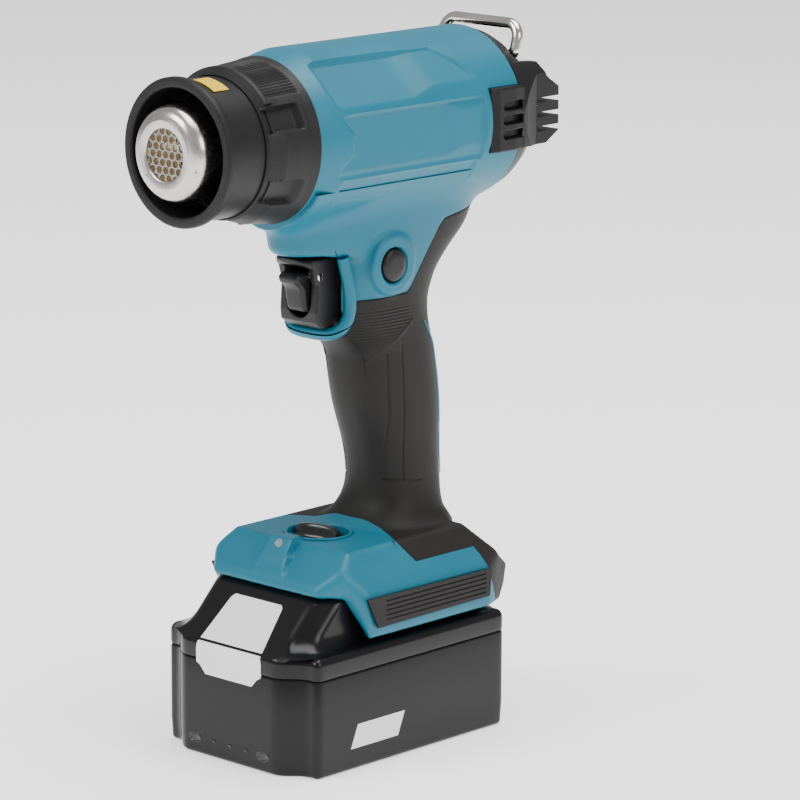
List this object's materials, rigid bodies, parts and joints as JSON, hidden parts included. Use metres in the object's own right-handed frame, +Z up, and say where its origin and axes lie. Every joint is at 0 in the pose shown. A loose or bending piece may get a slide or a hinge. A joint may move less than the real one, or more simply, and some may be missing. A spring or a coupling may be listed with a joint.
{
  "type": "cordless heat gun",
  "caption": "Cordless pistol-grip heat gun with a steel nozzle in a heat guard, trigger with lock-off, hanging hook and slide-on battery.",
  "frame": {"origin": "centre of the battery's flat base, which the tool stands on", "axes": "+Z up, the nozzle points to -Y, +X is the tool's left side"},
  "size_m": [0.0786, 0.172, 0.2541],
  "materials": {
    "teal_plastic": "satin",
    "soft_grip": "matt",
    "black_plastic": "satin",
    "battery_plastic": "satin gloss",
    "white_plastic": "gloss",
    "nozzle_steel": "polished, heat stained",
    "hook_wire": "bright plated",
    "screw_steel": "zinc plated",
    "spring_steel": "bright",
    "mica": "satin, flaky",
    "ceramic": "matt",
    "heater_wire": "oxidised",
    "fan_plastic": "satin",
    "motor_steel": "plain",
    "circuit_board": "satin",
    "contact_brass": "bright",
    "cell_wrap": "gloss",
    "holder_plastic": "matt",
    "yellow_label": "gloss",
    "clear_lens": "polished",
    "lead_red": "satin",
    "lead_black": "satin"
  },
  "bodies": {
    "tool": {"housing_left": "teal_plastic", "housing_right": "teal_plastic", "grip_left": "soft_grip", "grip_right": "soft_grip", "side_grille_left": "black_plastic", "side_grille_right": "black_plastic", "base_pad_left": "soft_grip", "base_pad_right": "soft_grip", "rear_cover": "black_plastic", "nozzle_tube": "nozzle_steel", "nozzle_mesh": "nozzle_steel", "nozzle_flange": "nozzle_steel", "mica_tube": "mica", "heater_former": "ceramic", "heater_coil": "heater_wire", "air_duct": "black_plastic", "motor_can": "motor_steel", "motor_mount": "black_plastic", "switch_module": "black_plastic", "dial_sensor": "black_plastic", "led_lens": "clear_lens", "led_board": "circuit_board", "control_board": "circuit_board", "terminal_block": "black_plastic", "terminal_blades": "contact_brass", "housing_screws": "screw_steel", "power_lead_plus": "lead_red", "power_lead_minus": "lead_black", "trigger_spring": "spring_steel", "lock_button_spring": "spring_steel"},
    "ring": {"lock_ring": "black_plastic"},
    "guard": {"nose_cover": "black_plastic", "nose_label": "yellow_label"},
    "trigger_body": {"trigger": "black_plastic", "lever_pin": "screw_steel", "switch_plunger": "white_plastic"},
    "lever_body": {"lock_off_lever": "black_plastic"},
    "lock_button_body": {"lock_button": "black_plastic"},
    "dial_body": {"dial": "black_plastic"},
    "hook_body": {"hook": "hook_wire"},
    "fan_body": {"fan": "fan_plastic", "motor_shaft": "motor_steel"},
    "battery": {"battery_lower_case": "battery_plastic", "battery_upper_case": "battery_plastic", "battery_cells": "cell_wrap", "cell_holder": "holder_plastic", "battery_board": "circuit_board", "battery_contacts": "contact_brass", "case_screws": "screw_steel", "release_springs": "spring_steel"},
    "release_body": {"release_button": "white_plastic"}
  },
  "joints": [
    {"name": "ring_turn", "type": "hinge", "parent": "tool", "child": "ring", "pos_m": [0, -0.048, 0.2205], "axis": [0, 1, 0], "range_deg": [0, 30]},
    {"name": "guard_pull", "type": "slide", "parent": "ring", "child": "guard", "axis": [0, -1, 0], "range_m": [0, 0.06]},
    {"name": "trigger_pull", "type": "slide", "parent": "tool", "child": "trigger_body", "axis": [0, 1, 0], "range_m": [0, 0.006], "stiffness_N_per_m": 700, "springref_m": -0.004, "deforming": ["trigger_spring"]},
    {"name": "lever_rock", "type": "hinge", "parent": "trigger_body", "child": "lever_body", "pos_m": [0, -0.0184, 0.171], "axis": [1, 0, 0], "range_deg": [0, 10], "stiffness_Nm_per_rad": 0.06, "springref_deg": -5.73},
    {"name": "lock_button_press", "type": "slide", "parent": "tool", "child": "lock_button_body", "axis": [-1, 0, 0], "range_m": [0, 0.003], "stiffness_N_per_m": 500, "springref_m": -0.002, "deforming": ["lock_button_spring"]},
    {"name": "dial_turn", "type": "hinge", "parent": "tool", "child": "dial_body", "pos_m": [0, -0.01, 0.0765], "axis": [0, 0, 1], "range_deg": [-135, 135]},
    {"name": "hook_fold", "type": "hinge", "parent": "tool", "child": "hook_body", "pos_m": [0, 0.072, 0.241], "axis": [-1, 0, 0], "range_deg": [0, 60]},
    {"name": "fan_spin", "type": "hinge", "parent": "tool", "child": "fan_body", "pos_m": [0, 0.0065, 0.2205], "axis": [0, 1, 0], "continuous": true},
    {"name": "battery_slide", "type": "slide", "parent": "tool", "child": "battery", "axis": [0, -1, 0], "range_m": [0, 0.1]},
    {"name": "release_press", "type": "slide", "parent": "battery", "child": "release_body", "axis": [0, 0, -1], "range_m": [0, 0.004], "stiffness_N_per_m": 500, "springref_m": -0.002, "deforming": ["release_springs"]}
  ]
}
